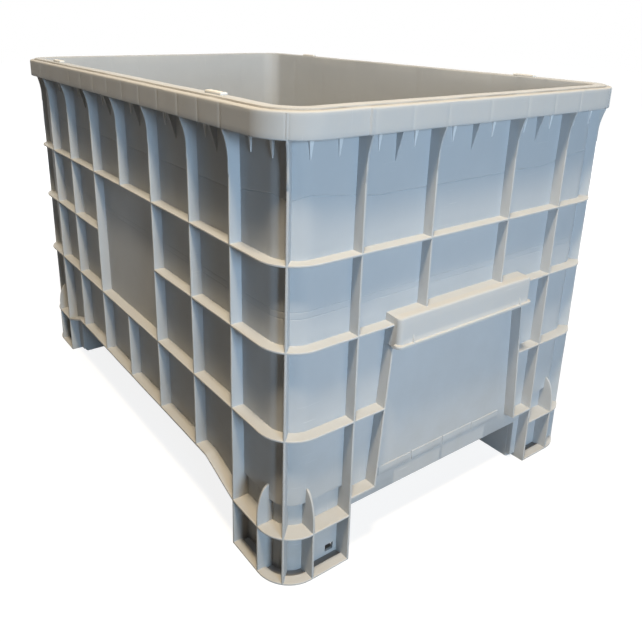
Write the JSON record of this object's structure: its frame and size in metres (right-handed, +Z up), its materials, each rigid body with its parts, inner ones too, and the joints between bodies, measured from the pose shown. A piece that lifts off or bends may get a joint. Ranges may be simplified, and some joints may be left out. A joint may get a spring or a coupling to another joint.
{
  "type": "plastic pallet box",
  "caption": "Rectangular plastic pallet box on moulded corner feet, with a ribbed outside, a wide rim, smooth inner walls and a handle ledge on each short side.",
  "frame": {"origin": "on the ground under the middle of the box", "axes": "+X along the long side, +Y along the short side, +Z up towards the open mouth"},
  "size_m": [1.209, 0.8, 0.787],
  "materials": {
    "grey_plastic": "moulded light grey polyethylene, satin, with fine mould texture and light handling marks"
  },
  "bodies": {
    "root": {"box_body": "grey_plastic"}
  },
  "joints": []
}
